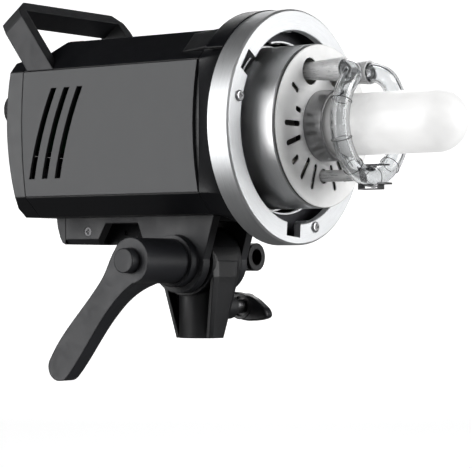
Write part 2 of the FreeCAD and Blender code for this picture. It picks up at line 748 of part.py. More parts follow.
def lock_spring():
    """Spring that draws the link forward to the lampholder's disc."""
    return coil(vec(1, 0, 0), vec(29.6, 0, 155.6), 13.8, 1.9, 0.3, 12)


def release_slider():
    """Thumb slider on top of the body, with a ribbed back."""
    cap = prism_xz([
        (17.5, BODY_TOP_Z + 0.15), (18.5, 169.2), (30.5, 170.6), (32.0, BODY_TOP_Z + 0.15),
    ], -10, 10)
    ribs = [box(x, x + 0.8, -9, 9, 168.6, 172) for x in (20.0, 22.4, 24.8, 27.2)]
    stem = box(20.5, 28.5, -3.6, 3.6, 162.1, BODY_TOP_Z + 0.5)
    return fuse([cap.cut(group(ribs)), stem])


# ---- light source -----------------------------------------------------------

THIN_LEG_Z = LAMP_Z - 26.8
TOP_GAP = 39.5          # the ring's arc starts this far from straight up


def lamp_drum():
    """Bright drum that the lamp and flash tube stand on."""
    outer = DRUM_RADIUS
    return turned([
        (46.0, outer + 1.0), (48.0, outer + 1.0), (48.0, outer), (80.6, outer), (81.3, outer - 0.6),
        (81.3, outer - 1.3), (46.0, outer - 1.3),
    ])


def radial_slot(inner, outer, degrees):
    """Rounded slot in the face plate, pointing at the lamp axis."""
    half = 1.45
    middle = box(70, 90, inner + half, outer - half, LAMP_Z - half, LAMP_Z + half)
    ends = [rod_x(reach, LAMP_Z, half, 70, 90) for reach in (inner + half, outer - half)]
    return about_lamp(middle.multiFuse(ends), degrees)


LONG_SLOT = (21.7, 35.8)
OUTER_SLOT = (28.6, 35.8)
INNER_SLOT = (21.7, 27.0)
SLOTS_BY_ANGLE = {
    0: LONG_SLOT, 18: INNER_SLOT, 36: OUTER_SLOT,
    -18: LONG_SLOT, -36: OUTER_SLOT, -54: LONG_SLOT, -72: LONG_SLOT,
}


def face_plate():
    """White plate with air slots and holes for the lamp and the tube's legs."""
    plate = turned([
        (79.6, 0), (79.6, 42.5), (81.8, 42.5), (81.8, 43.6),
        (PLATE_FRONT_X - 0.4, 43.6), (PLATE_FRONT_X, 43.2), (PLATE_FRONT_X, 0),
    ])
    hollow = pipe_x(0, LAMP_Z, 41.0, 22.0, 79.0, 81.8)
    cuts = [hollow, rod_x(0, LAMP_Z, COLLAR_RADIUS, 70, 90)]
    leg_y, leg_z = leg_place()
    cuts += [rod_x(y, leg_z, 7.2, 70, 90) for y in (-leg_y, leg_y)]
    cuts.append(rod_x(0, THIN_LEG_Z, 4.0, 70, 90))
    for degrees, (inner, outer) in SLOTS_BY_ANGLE.items():
        cuts.append(radial_slot(inner, outer, degrees))
        cuts.append(radial_slot(inner, outer, 180 - degrees))
    return plate.cut(group(cuts))


def lamp_collar():
    return turned([
        (70.0, COLLAR_RADIUS), (COLLAR_FRONT_X - 0.6, COLLAR_RADIUS),
        (COLLAR_FRONT_X, COLLAR_RADIUS - 0.5), (COLLAR_FRONT_X, 17.7), (70.0, 17.7),
    ])


def lampholder():
    """Screw lampholder on its mounting disc."""
    return turned([
        (44.0, 0), (44.0, 42.4), (46.5, 42.4), (46.5, 17.6), (79.0, 17.6), (79.0, 13.8),
        (52.0, 13.8), (52.0, 0),
    ])


def lamp_base():
    """Screw shell with its rounded thread and the end contact."""
    profile = [(52.4, 0), (52.4, 4.0), (54.5, 4.5), (56.0, 9.5)]
    for turn in range(6):
        x = 57.0 + 3.6 * turn
        profile += [(x, 12.2), (x + 0.9, 13.3), (x + 1.8, 13.3), (x + 2.7, 12.2)]
    profile += [(79.5, 12.4), (84.0, 12.4), (84.0, 0)]
    return turned(profile)


def lamp_glass():
    """Frosted bulb: straight sides and a round end."""
    straight_end = LAMP_TIP_X - LAMP_RADIUS
    wall = 1.0

    def outline(radius, foot):
        bend = math.sqrt(0.5) * radius
        neck = vec(84.5, 0, LAMP_Z + foot)
        shoulder = vec(89.0, 0, LAMP_Z + radius)
        tangent = vec(straight_end, 0, LAMP_Z + radius)
        middle = vec(straight_end + bend, 0, LAMP_Z + bend)
        tip = vec(straight_end + radius, 0, LAMP_Z)
        return [
            Part.LineSegment(neck, shoulder).toShape(), Part.LineSegment(shoulder, tangent).toShape(),
            Part.Arc(tangent, middle, tip).toShape(),
        ]

    outer = outline(LAMP_RADIUS, 12.6)
    inner = outline(LAMP_RADIUS - wall, 11.6)
    at_tip = Part.LineSegment(vec(LAMP_TIP_X, 0, LAMP_Z), vec(LAMP_TIP_X - wall, 0, LAMP_Z))
    at_foot = Part.LineSegment(vec(84.5, 0, LAMP_Z + 11.6), vec(84.5, 0, LAMP_Z + 12.6))
    edges = outer + [at_tip.toShape()] + inner + [at_foot.toShape()]
    profile = Part.Wire(Part.sortEdges(edges)[0])
    return Part.Face(profile).revolve(vec(0, 0, LAMP_Z), vec(1, 0, 0), 360)


def tube_bar(radius):
    """The flash tube's run: elbow, three quarters and more of a ring, elbow."""
    centre = vec(TUBE_X, 0, TUBE_CENTRE_Z)
    gap = math.radians(TOP_GAP)
    start = vec(TUBE_X, TUBE_RING_RADIUS * math.sin(gap),
                TUBE_CENTRE_Z + TUBE_RING_RADIUS * math.cos(gap))
    sweep = 360 - 2 * TOP_GAP
    arc = torus_arc(centre, vec(-1, 0, 0), start, sweep, radius)
    spoke = start.sub(centre).normalize()
    bend_centre = start.add(vec(-TUBE_ELBOW, 0, 0))
    elbow = torus_arc(bend_centre, spoke, start, -90, radius)
    return fuse([arc, elbow, mirror_y(elbow)])


def leg_place():
    """Y and Z where each elbow ends, over the top of the ring."""
    gap = math.radians(TOP_GAP)
    y = TUBE_RING_RADIUS * math.sin(gap) - TUBE_ELBOW * math.cos(gap)
    z = TUBE_CENTRE_Z + TUBE_RING_RADIUS * math.cos(gap) + TUBE_ELBOW * math.sin(gap)
    return y, z


def flash_tube_glass():
    return tube_bar(TUBE_RADIUS).cut(tube_bar(TUBE_BORE))


def flash_tube_legs():
    """Two flared frosted sleeves at the top and one thin rest at the bottom."""
    y, z = leg_place()
    end = TUBE_X - TUBE_ELBOW
    flare = Part.makeCone(SLEEVE_FOOT_RADIUS, SLEEVE_MOUTH_RADIUS, end - 82.0,
                          vec(82.0, y, z), vec(1, 0, 0))
    sleeve = rod_x(y, z, SLEEVE_FOOT_RADIUS, 70.0, 82.0).fuse(flare)
    sleeve = sleeve.cut(rod_x(y, z, TUBE_BORE, 60, end + 1))
    rest = rod_x(0, THIN_LEG_Z, 3.1, 70.0, TUBE_X - TUBE_RADIUS - 1.0)
    return group([sleeve, mirror_y(sleeve), rest])


def flash_tube_electrodes():
    y, z = leg_place()
    rod = rod_x(y, z, 1.2, 64.0, 98.0).fuse(rod_x(y, z, 2.6, 96.0, 104.0))
    return group([rod, mirror_y(rod)])


WRAP_ANGLES = (70, 105, 140, 175, 215, 250, 290)


def trigger_wire():
    """Fine wire wound round the glass, and the clip that holds the ring below."""
    reach = TUBE_RADIUS + 0.25
    wraps = []
    for degrees in WRAP_ANGLES:
        gap = math.radians(degrees)
        y = TUBE_RING_RADIUS * math.sin(gap)
        z = TUBE_CENTRE_Z + TUBE_RING_RADIUS * math.cos(gap)
        along = vec(0, math.cos(gap), -math.sin(gap))
        wraps.append(Part.makeTorus(reach, 0.2, vec(TUBE_X, y, z), along))
    first = math.radians(WRAP_ANGLES[0])
    inner = TUBE_RING_RADIUS - reach - 0.05
    start = vec(TUBE_X, inner * math.sin(first), TUBE_CENTRE_Z + inner * math.cos(first))
    run = torus_arc(vec(TUBE_X, 0, TUBE_CENTRE_Z), vec(-1, 0, 0), start,
                    WRAP_ANGLES[-1] - WRAP_ANGLES[0], 0.2)
    back = TUBE_X - TUBE_RADIUS - 0.9
    middle = TUBE_CENTRE_Z - TUBE_RING_RADIUS
    front = TUBE_X + TUBE_RADIUS + 0.8
    gap = TUBE_RADIUS + 0.75
    clip = fuse([
        box(back, TUBE_X + 10.0, -3, 3, middle + gap, middle + gap + 0.8),
        box(back, front + 0.7, -3, 3, middle - gap - 0.6, middle - gap),
        box(back, back + 0.7, -3, 3, middle - gap - 0.4, middle + gap + 0.4),
        box(front, front + 0.7, -3, 3, middle - gap - 0.4, middle - 3.0),
        box(front, TUBE_X + 11.5, -3, 3, middle - 4.0, middle - 3.0),
    ])
    return group([fuse(wraps + [run]), clip])


def tube_sockets():
    """Spring sockets behind the face plate that the tube's legs plug into."""
    y, z = leg_place()
    gap = 0.12
    thick = rod_x(y, z, 7.4, 60.0, 76.0).cut(rod_x(y, z, SLEEVE_FOOT_RADIUS + gap, 69.6, 80))
    thick = thick.cut(rod_x(y, z, 1.4, 62.0, 80))
    thin = rod_x(0, THIN_LEG_Z, 4.8, 60.0, 76.0).cut(rod_x(0, THIN_LEG_Z, 3.1 + gap, 69.6, 80))
    return group([thick, mirror_y(thick), thin])


# ---- inside -----------------------------------------------------------------

def flash_capacitors():
    cans = []
    for y in (-17.5, 17.5):
        for z in (LAMP_Z - 17.5, LAMP_Z + 17.5):
            cans.append(rod_x(y, z, 16.5, -24.0, 26.0))
    return group(cans)


def power_board():
    """Circuit board across the body with its transformer and heat sinks."""
    board = box(-34.0, -32.4, -40, 40, 76, 151)
    pieces = [board, box(-32.4, -26.0, -36, 36, 78, 80)]
    pieces.append(box(-32.4, -12.0, -38, -35.5, 84, 120))
    pieces.append(box(-32.4, -12.0, 35.5, 38, 84, 120))
    pieces.append(box(-44.0, -34.0, -30, -14, 78, 92))
    pieces.append(rod_x(24, 84, 6, -44.0, -34.0))
    return fuse(pieces)


def control_board():
    board = box(-90.0, -88.4, -36, 36, 105, 146)
    display = box(-96.0, -90.0, 3, 35, 119, 141)
    encoder = box(-95.5, -90.0, -35.5, -22.5, 123.3, 136.3)
    return fuse([board, display, encoder])


FAN_X = -62.0
FAN_RADIUS = 27.4


def fan_frame():
    """Square fan frame with a motor seat on four spokes."""
    frame = box(FAN_X, FAN_X + 15, -30, 30, LAMP_Z - 30, LAMP_Z + 30)
    frame = frame.cut(rod_x(0, LAMP_Z, 28.5, FAN_X - 1, FAN_X + 16))
    seat = rod_x(0, LAMP_Z, 12.0, FAN_X, FAN_X + 1.5)
    spokes = [
        box(FAN_X, FAN_X + 1.5, -29, 29, LAMP_Z - 1.5, LAMP_Z + 1.5),
        box(FAN_X, FAN_X + 1.5, -1.5, 1.5, LAMP_Z - 29, LAMP_Z + 29),
    ]
    return fuse([frame, seat] + spokes)


def fan_rotor():
    hub = rod_x(0, LAMP_Z, 11.5, FAN_X + 2.0, FAN_X + 14.0)
    blade = box(FAN_X + 3.0, FAN_X + 12.6, -0.6, 0.6, LAMP_Z + 10.0, LAMP_Z + FAN_RADIUS)
    blade.rotate(vec(FAN_X + 7.8, 0, LAMP_Z + 19), vec(0, 0, 1), 35)
    blades = [about_lamp(blade, 360.0 / 7 * step) for step in range(7)]
    return fuse([hub] + blades)


# ---- control panel ----------------------------------------------------------

DIAL_Y = -29.0
DIAL_Z = 129.8
DIAL_RADIUS = 9.8
BUTTON_Z = 109.0
BUTTON_PLACES = {"button_model": 31.0, "button_buzz": 19.5, "button_slave": 8.0, "button_test": -3.5}
BUTTON_HALF_Y = 4.0
BUTTON_HALF_Z = 2.6
INLET_Y = 21.0
INLET_Z = 91.4
SEAM_Z = 102.8          # between the control plate and the two parts below it
SEAM_Y = 7.5            # between the lower plate and the inlet's flange
ROCKER_Y = -3.5
ROCKER_Z = 91.4
ROCKER_BODY_X = -86.0   # front end of the switch body
ROCKER_TILT = 8.0
FUSE_Y = -20.0
FUSE_Z = 91.4
JACK_Y = -34.4
JACK_Z = 91.4


def rounded_bar(y, z, half_y, half_z, corner, x0, x1):
    bar = box(x0, x1, y - half_y, y + half_y, z - half_z, z + half_z)
    return bar.makeFillet(corner, [edge for edge in bar.Edges if abs(edge.tangentAt(0).x) > 0.99])


def control_panel():
    """Upper plate with the controls, and below it a plate with the switch, the fuse and the jack."""
    upper = box(PANEL_X, PANEL_X + 2.0, 0.2 - OPENING_HALF, OPENING_HALF - 0.2,
                SEAM_Z + 0.1, OPENING_HIGH_Z - 0.2)
    dial_ring = pipe_x(DIAL_Y, DIAL_Z, DIAL_RADIUS + 1.6, DIAL_RADIUS + 0.5, PANEL_X - 1.2, PANEL_X + 0.5)
    cuts = [rod_x(DIAL_Y, DIAL_Z, 3.4, -120, -80)]
    for y in BUTTON_PLACES.values():
        cuts.append(rounded_bar(y, BUTTON_Z, BUTTON_HALF_Y + 0.15, BUTTON_HALF_Z + 0.15, 1.2, -120, -80))
    cuts.append(box(PANEL_X, PANEL_X + 2, 3.4, 34.6, 119.4, 140.6))
    upper = upper.fuse(dial_ring).cut(group(cuts))

    lower = box(PANEL_X, PANEL_X + 2.0, 0.2 - OPENING_HALF, SEAM_Y - 0.1,
                OPENING_LOW_Z + 0.2, SEAM_Z - 0.1)
    bezel = rounded_bar(ROCKER_Y, ROCKER_Z, 8.4, 11.2, 1.5, PANEL_X - 1.2, PANEL_X + 0.5)
    switch_body = box(PANEL_X + 1.0, ROCKER_BODY_X, ROCKER_Y - 7.8, ROCKER_Y + 7.8,
                      ROCKER_Z - 10.9, ROCKER_Z + 10.9)
    cuts = [
        box(-120, ROCKER_BODY_X - 1.0, ROCKER_Y - 6.8, ROCKER_Y + 6.8, ROCKER_Z - 9.9, ROCKER_Z + 9.9),
        rod_x(FUSE_Y, FUSE_Z, 6.0, -120, -80),
        rod_x(JACK_Y, JACK_Z, 4.0, -120, -80),
    ]
    return group([upper, fuse([lower, bezel, switch_body]).cut(group(cuts))])


def display_window():
    return rounded_bar(19.0, 130.0, 18.0, 12.6, 2.0, PANEL_X - 1.2, PANEL_X)


def button(y):
    cap = rounded_bar(y, BUTTON_Z, BUTTON_HALF_Y, BUTTON_HALF_Z, 1.1, PANEL_X - 1.8, PANEL_X + 4.0)
    foot = box(PANEL_X + 3.2, PANEL_X + 4.6, y - 4.8, y + 4.8, BUTTON_Z - 3.4, BUTTON_Z + 3.4)
    return cap.fuse(foot)


def dial():
    """Fluted knob with a shallow dished face and its shaft."""
    knob = rod_x(DIAL_Y, DIAL_Z, DIAL_RADIUS, -113.0, PANEL_X - 0.6)
    rim = [edge for edge in knob.Edges if abs(edge.CenterOfMass.x + 113.0) < 0.01]
    knob = knob.makeFillet(1.2, rim[:1])
    flutes = []
    for step in range(24):
        angle = math.radians(15 * step)
        y = DIAL_Y + (DIAL_RADIUS + 0.45) * math.cos(angle)
        z = DIAL_Z + (DIAL_RADIUS + 0.45) * math.sin(angle)
        flutes.append(rod_x(y, z, 0.9, -114, PANEL_X - 3.0))
    shaft = rod_x(DIAL_Y, DIAL_Z, 3.2, PANEL_X - 1, -95.6)
    dish = rod_x(DIAL_Y, DIAL_Z, 7.0, -114, -112.4)
    return knob.cut(group(flutes)).cut(dish).fuse(shaft)


def power_rocker():
    """Rocker with two sloping faces, resting on its lower half."""
    centre_x = PANEL_X + 2.0
    outline = [
        (centre_x - 5.4, ROCKER_Z + 9.2), (centre_x - 3.6, ROCKER_Z), (centre_x - 5.4, ROCKER_Z - 9.2),
        (centre_x + 2.0, ROCKER_Z - 8.0), (centre_x + 4.5, ROCKER_Z), (centre_x + 2.0, ROCKER_Z + 8.0),
    ]
    rocker = prism_xz(outline, ROCKER_Y - 6.3, ROCKER_Y + 6.3)
    rocker = rocker.fuse(rod_y(centre_x, ROCKER_Z, 1.2, ROCKER_Y - 6.65, ROCKER_Y + 6.65))
    rocker.rotate(vec(centre_x, ROCKER_Y, ROCKER_Z), vec(0, 1, 0), -ROCKER_TILT)
    return rocker


def mains_inlet():
    """Three-pin appliance inlet, whose flange closes the corner beside the lower plate."""
    flange = box(PANEL_X - 1.6, PANEL_X + 2.0, SEAM_Y + 0.1, OPENING_HALF - 0.2,
                 OPENING_LOW_Z + 0.2, SEAM_Z - 0.1)
    body = box(PANEL_X - 0.5, -78.0, INLET_Y - 13.5, INLET_Y + 13.5, INLET_Z - 9.8, INLET_Z + 9.8)
    outline = [
        (-12.3, -8.2), (12.3, -8.2), (12.3, 3.6), (7.8, 8.2), (-7.8, 8.2), (-12.3, 3.6),
    ]
    cavity = prism_yz([(INLET_Y + y, INLET_Z + z) for y, z in outline], -110, -83.0)
    shell = flange.fuse(body).cut(cavity)
    pins = []
    for y, z in ((-7.0, -1.8), (7.0, -1.8), (0.0, 2.4)):
        pins.append(box(-97.5, -74.0, INLET_Y + y - 1.0, INLET_Y + y + 1.0,
                        INLET_Z + z - 2.0, INLET_Z + z + 2.0))
    shell = shell.cut(group(pins))
    return group([shell] + pins)


def fuse_holder():
    return pipe_x(FUSE_Y, FUSE_Z, 5.9, 4.9, PANEL_X, -72.0).fuse(
        rod_x(FUSE_Y, FUSE_Z, 5.9, -72.5, -71.0)).fuse(
        pipe_x(FUSE_Y, FUSE_Z, 7.6, 4.9, PANEL_X - 1.4, PANEL_X))


def fuse_cap():
    cap = rod_x(FUSE_Y, FUSE_Z, 6.4, -106.0, PANEL_X - 1.6)
    slot = box(-107, -104.6, FUSE_Y - 5, FUSE_Y + 5, FUSE_Z - 0.8, FUSE_Z + 0.8)
    plug = rod_x(FUSE_Y, FUSE_Z, 4.7, -101, -94.0)
    clip = rod_x(FUSE_Y, FUSE_Z, 2.6, -97, -93.0)
    return cap.cut(slot).fuse(plug).cut(clip)


def fuse_link():
    return rod_x(FUSE_Y, FUSE_Z, 2.6, -93.2, -74.0)


def sync_jack():
    nut = []
    for step in range(6):
        angle = math.radians(60 * step)
        nut.append((JACK_Y + 6.0 * math.cos(angle), JACK_Z + 6.0 * math.sin(angle)))
    barrel = rod_x(JACK_Y, JACK_Z, 3.95, -102.0, -84.0)
    collar = prism_yz(nut, PANEL_X - 1.8, PANEL_X)
    return barrel.fuse(collar).cut(rod_x(JACK_Y, JACK_Z, 1.8, -103, -87))


# ---- output -----------------------------------------------------------------

NODES = {
    "stand_bracket": stand_bracket,
    "pivot_bush": pivot_bush,
    "friction_washers": friction_washers,
    "clamp_pad": clamp_pad,
    "stand_knob": stand_knob,
    "stand_knob_stud": stand_knob_stud,
    "clamp_lever": clamp_lever,
    "clamp_bolt": clamp_bolt,
    "lever_button": lever_button,
    "lever_spring": lever_spring,
    "foot_frame": foot_frame,
    "foot_end_cap": foot_end_cap,
    "foot_screws": foot_screws,
    "clamp_nut": clamp_nut,
    "umbrella_tube": umbrella_tube,
    "umbrella_lock_pad": umbrella_lock_pad,
    "umbrella_lock_screw": umbrella_lock_screw,
    "body_shell": body_shell,
    "side_panel_left": lambda: side_panel(1),
    "side_panel_right": lambda: side_panel(-1),
    "front_cover": front_cover,
    "rear_cover": rear_cover,
    "case_screws": case_screws,
    "sensor_window": sensor_window,
    "handle": handle,
    "bayonet_ring": bayonet_ring,
    "ring_screws": ring_screws,
    "bayonet_plate": bayonet_plate,
    "release_slider": release_slider,
    "lock_pin": lock_pin,
    "lock_spring": lock_spring,
    "lamp_drum": lamp_drum,
    "face_plate": face_plate,
    "lamp_collar": lamp_collar,
    "lampholder": lampholder,
    "lamp_base": lamp_base,
    "lamp_glass": lamp_glass,
    "flash_tube_glass": flash_tube_glass,
    "flash_tube_legs": flash_tube_legs,
    "flash_tube_electrodes": flash_tube_electrodes,
    "trigger_wire": trigger_wire,
    "tube_sockets": tube_sockets,
    "flash_capacitors": flash_capacitors,
    "power_board": power_board,
    "control_board": control_board,
    "fan_frame": fan_frame,
    "fan_rotor": fan_rotor,
    "control_panel": control_panel,
    "display_window": display_window,
    "dial": dial,
    "power_rocker": power_rocker,
    "mains_inlet": mains_inlet,
    "fuse_holder": fuse_holder,
    "fuse_cap": fuse_cap,
    "fuse": fuse_link,
    "sync_jack": sync_jack,
}
for button_name, button_y in BUTTON_PLACES.items():
    NODES[button_name] = lambda y=button_y: button(y)


os.makedirs("parts", exist_ok=True)
for name, make in NODES.items():
    shape = make()
    shape.exportStep("parts/" + name + ".step")
    print(name, len(shape.Solids), shape.isValid(), round(shape.Volume))
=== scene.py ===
import bpy
import math
from mathutils import Matrix, Vector


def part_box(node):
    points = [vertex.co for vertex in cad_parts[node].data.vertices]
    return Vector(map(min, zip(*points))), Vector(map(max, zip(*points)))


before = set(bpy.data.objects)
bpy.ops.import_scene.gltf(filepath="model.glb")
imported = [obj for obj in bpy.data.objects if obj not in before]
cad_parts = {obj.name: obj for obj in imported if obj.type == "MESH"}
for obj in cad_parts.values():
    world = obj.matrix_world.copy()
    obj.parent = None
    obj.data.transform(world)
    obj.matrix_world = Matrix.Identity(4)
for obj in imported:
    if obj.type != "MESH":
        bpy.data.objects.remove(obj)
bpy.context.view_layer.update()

LAMP_Z = 0.1144         # height of the lamp's axis
SIDE_Y = 0.0477         # upright outer sides lie beyond this
SLOT_SHADE_X = 0.0826         # painted shade in the slots starts just behind the face plate's front
BACKING_HIGHLIGHT_X = 0.0554       # the backing plate's colour is a painted highlight in front of this
GREY_LOW_Z = 0.0790     # the rear cover's sides are grey between these heights
GREY_HIGH_Z = 0.1491
BLEND = 0.00015         # half the width of a change of colour
CAMERA_TURN = 36.69     # degrees from the Y axis


# ---- camera -----------------------------------------------------------------

camera_data = bpy.data.cameras.new("camera")
camera_data.lens = 160.9
camera_data.sensor_width = 36.0
camera = bpy.data.objects.new("camera", camera_data)
camera.location = (0.7173, -0.9292, 0.0360)
camera.rotation_euler = (math.radians(91.06), 0.0, math.radians(CAMERA_TURN))
bpy.context.scene.collection.objects.link(camera)
bpy.context.scene.camera = camera


# ---- node helpers -----------------------------------------------------------

class Nodes:
    """Builds one material's nodes: each call adds a node and returns its output."""

    def __init__(self, name):
        self.material = bpy.data.materials.new(name)
        self.material.use_nodes = True
        self.tree = self.material.node_tree
        self.tree.nodes.clear()
        self.out = self.tree.nodes.new("ShaderNodeOutputMaterial")
        self.coords = self.add("ShaderNodeTexCoord").outputs["Object"]

    def add(self, kind, **settings):
        node = self.tree.nodes.new(kind)
        for key, value in settings.items():
            setattr(node, key, value)
        return node

    def feed(self, socket, value):
        if isinstance(value, bpy.types.NodeSocket):
            self.tree.links.new(value, socket)
        else:
            socket.default_value = value

    def math(self, operation, a, b=0.0, clamp=False):
        node = self.add("ShaderNodeMath", operation=operation, use_clamp=clamp)
        self.feed(node.inputs[0], a)
        self.feed(node.inputs[1], b)
        return node.outputs[0]

    def noise(self, scale, detail=2.0, rough=0.5, vector=None, distortion=0.0):
        node = self.add("ShaderNodeTexNoise")
        self.feed(node.inputs["Vector"], vector or self.coords)
        node.inputs["Scale"].default_value = scale
        node.inputs["Detail"].default_value = detail
        node.inputs["Roughness"].default_value = rough
        node.inputs["Distortion"].default_value = distortion
        return node.outputs["Fac"]

    def ramp(self, value, low, high, low_at=0.35, high_at=0.65):
        node = self.add("ShaderNodeMapRange")
        self.feed(node.inputs["Value"], value)
        node.inputs["From Min"].default_value = low_at
        node.inputs["From Max"].default_value = high_at
        node.inputs["To Min"].default_value = low
        node.inputs["To Max"].default_value = high
        return node.outputs["Result"]

    def mix(self, factor, a, b):
        node = self.add("ShaderNodeMix", data_type="RGBA")
        self.feed(node.inputs["Factor"], factor)
        for socket, value in ((node.inputs[6], a), (node.inputs[7], b)):
            if isinstance(value, tuple) and len(value) == 3:
                value = value + (1.0,)
            self.feed(socket, value)
        return node.outputs[2]

    def split(self, vector=None):
        node = self.add("ShaderNodeSeparateXYZ")
        self.feed(node.inputs[0], vector or self.coords)
        return node.outputs

    def join(self, x, y, z):
        node = self.add("ShaderNodeCombineXYZ")
        for socket, value in zip(node.inputs, (x, y, z)):
            self.feed(socket, value)
        return node.outputs[0]

    def turned(self):
        """Coordinates whose grain runs round the lamp's axis: x, radius and a squeezed angle."""
        x, y, z = self.split()
        dz = self.math("SUBTRACT", z, LAMP_Z)
        squares = self.math("ADD", self.math("MULTIPLY", y, y), self.math("MULTIPLY", dz, dz))
        radius = self.math("SQRT", squares)
        angle = self.math("ARCTAN2", dz, y)
        return self.join(x, radius, self.math("MULTIPLY", angle, 0.001))

    def below(self, value, limit):
        """One where the value is under the limit, nought above it."""
        return self.ramp(value, 1.0, 0.0, limit - BLEND, limit + BLEND)

    def above(self, value, limit):
        """Nought where the value is under the limit, one above it."""
        return self.ramp(value, 0.0, 1.0, limit - BLEND, limit + BLEND)

    def bump(self, height, strength, distance, normal=None):
        node = self.add("ShaderNodeBump")
        node.inputs["Strength"].default_value = strength
        node.inputs["Distance"].default_value = distance
        self.feed(node.inputs["Height"], height)
        if normal is not None:
            self.feed(node.inputs["Normal"], normal)
        return node.outputs[0]

    def edge(self, radius):
        """Softly rounded edges."""
        node = self.add("ShaderNodeBevel", samples=4)
        node.inputs["Radius"].default_value = radius
        return node.outputs[0]

    def shader(self, **values):
        node = self.add("ShaderNodeBsdfPrincipled")
        for key, value in values.items():
            name = key.replace("_", " ")
            if isinstance(value, tuple) and len(value) == 3:
                value = value + (1.0,)
            self.feed(node.inputs[name], value)
        return node.outputs[0]

    def done(self, shader):
        self.tree.links.new(shader, self.out.inputs["Surface"])
        return self.material


def shade(colour, factor):
    return tuple(min(1.0, channel * factor) for channel in colour)


def plastic(name, colour, rough=0.5, grain=2600.0, depth=0.00006, spread=0.14, edge=0.0005, coat=0.0,
            specular=0.36, patchy=0.06, second=None):
    """Moulded plastic with a spark-eroded grain and faint flow marks.

    second holds another colour for the upright outer sides, and the heights it starts and ends at.
    """
    n = Nodes(name)
    fine = n.noise(grain, 3.0, 0.6)
    broad = n.noise(38.0, 3.0, 0.55)
    smudge = n.noise(120.0, 4.0, 0.6, distortion=0.6)
    tone = n.mix(n.ramp(broad, 0.0, 1.0), shade(colour, 1 - spread), shade(colour, 1 + spread))
    tone = n.mix(n.ramp(fine, 0.0, 0.35), tone, shade(colour, 1 + 2.5 * spread))
    rounded = n.edge(edge)
    if second:
        paint, low_z, high_z = second
        _, y, z = n.split()
        side = n.above(n.math("ABSOLUTE", y), SIDE_Y)
        side = n.math("MULTIPLY", side, n.math("MULTIPLY", n.above(z, low_z), n.below(z, high_z)))
        grey = n.mix(n.ramp(fine, 0.0, 0.35), shade(paint, 0.98), shade(paint, 1.1))
        tone = n.mix(side, tone, grey)
    gloss = n.ramp(smudge, rough - patchy, rough + patchy, 0.3, 0.7)
    normal = n.bump(fine, 0.5, depth, rounded)
    shader = n.shader(Base_Color=tone, Roughness=gloss, Normal=normal, Coat_Weight=coat,
                      Coat_Roughness=0.25, Specular_IOR_Level=specular)
    return n.done(shader)


def cast_paint(name, colour, rough=0.45, edge=0.0006):
    """Powder-coated casting: orange peel over a fine sparkle."""
    n = Nodes(name)
    peel = n.noise(1100.0, 2.0, 0.5)
    fine = n.noise(4200.0, 2.0, 0.6)
    broad = n.noise(45.0, 3.0, 0.6)
    height = n.math("ADD", peel, n.math("MULTIPLY", fine, 0.4))
    tone = n.mix(n.ramp(broad, 0.0, 1.0), shade(colour, 0.82), shade(colour, 1.2))
    tone = n.mix(n.ramp(fine, 0.0, 0.5, 0.5, 0.75), tone, shade(colour, 2.2))
    gloss = n.ramp(broad, rough - 0.06, rough + 0.08)
    normal = n.bump(height, 0.45, 0.00010, n.edge(edge))
    shader = n.shader(Base_Color=tone, Roughness=gloss, Normal=normal, Specular_IOR_Level=0.4)
    return n.done(shader)


def turned_metal(name, colour, rough, grain, strength, stain=0.12):
    """Lathe-turned metal with its grain round the lamp's axis."""
    n = Nodes(name)
    lines = n.noise(grain, 4.0, 0.7, n.turned())
    soft = n.noise(60.0, 3.0, 0.6)
    tone = n.mix(n.ramp(lines, 0.0, 1.0), shade(colour, 1 - stain), shade(colour, 1 + stain * 0.5))
    tone = n.mix(n.ramp(soft, 0.0, stain), tone, shade(colour, 0.8))
    gloss = n.ramp(lines, rough - 0.03, rough + 0.04)
    normal = n.bump(lines, strength, 0.00004, n.edge(0.0004))
    return n.done(n.shader(Base_Color=tone, Metallic=1.0, Roughness=gloss, Normal=normal))


def metal(name, colour, rough, highlight_x=None):
    """Plain metal with tumbling marks and fingerprints; in front of the given x its colour is lightened as a
    painted highlight.
    """
    n = Nodes(name)
    marks = n.noise(2400.0, 4.0, 0.65, distortion=0.8)
    soft = n.noise(90.0, 3.0, 0.6)
    tone = n.mix(n.ramp(soft, 0.0, 1.0), shade(colour, 0.84), shade(colour, 1.06))
    # painted highlight: light colour in front of the given x
    if highlight_x:
        tone = n.mix(n.above(n.split()[0], highlight_x), tone, (0.85, 0.86, 0.87))
    gloss = n.ramp(marks, rough - 0.06, rough + 0.10)
    normal = n.bump(marks, 0.2, 0.00003, n.edge(0.0003))
    return n.done(n.shader(Base_Color=tone, Metallic=1.0, Roughness=gloss, Normal=normal))


def painted(name, colour, rough, grain=3000.0, depth=0.00003, shade_x=None):
    """Stoved enamel on sheet metal. Behind the given x, in the slots, it is darkened to near black as
    painted shade.
    """
    n = Nodes(name)
    fine = n.noise(grain, 3.0, 0.6)
    soft = n.noise(70.0, 4.0, 0.6)
    tone = n.mix(n.ramp(soft, 0.0, 1.0), shade(colour, 0.94), shade(colour, 1.03))
    # painted shade: the slots behind the given x are darkened to near black
    if shade_x:
        tone = n.mix(n.below(n.split()[0], shade_x), tone, shade(colour, 0.03))
    gloss = n.ramp(soft, rough - 0.05, rough + 0.08)
    normal = n.bump(fine, 0.3, depth, n.edge(0.0004))
    return n.done(n.shader(Base_Color=tone, Roughness=gloss, Normal=normal))


